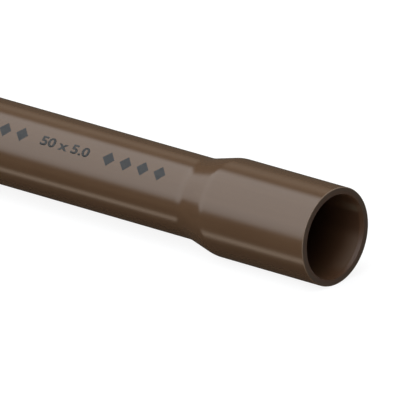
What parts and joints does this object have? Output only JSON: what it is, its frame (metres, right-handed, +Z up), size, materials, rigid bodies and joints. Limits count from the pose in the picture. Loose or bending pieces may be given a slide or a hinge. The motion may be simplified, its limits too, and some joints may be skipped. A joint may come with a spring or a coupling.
{
  "type": "pvc pipe",
  "caption": "Brown rigid PVC pressure pipe bar with one plain cut end and one belled socket end for solvent-cement joints.",
  "frame": {"origin": "centre of the plain end's face, on the pipe's axis", "axes": "+X along the axis from the plain end towards the socket's mouth, +Z up with the bar lying level on a floor, +Y completes the right-handed frame"},
  "size_m": [3, 0.0602, 0.0604],
  "materials": {
    "brown_pvc": "satin"
  },
  "bodies": {
    "root": {"pipe": "brown_pvc"}
  },
  "joints": []
}
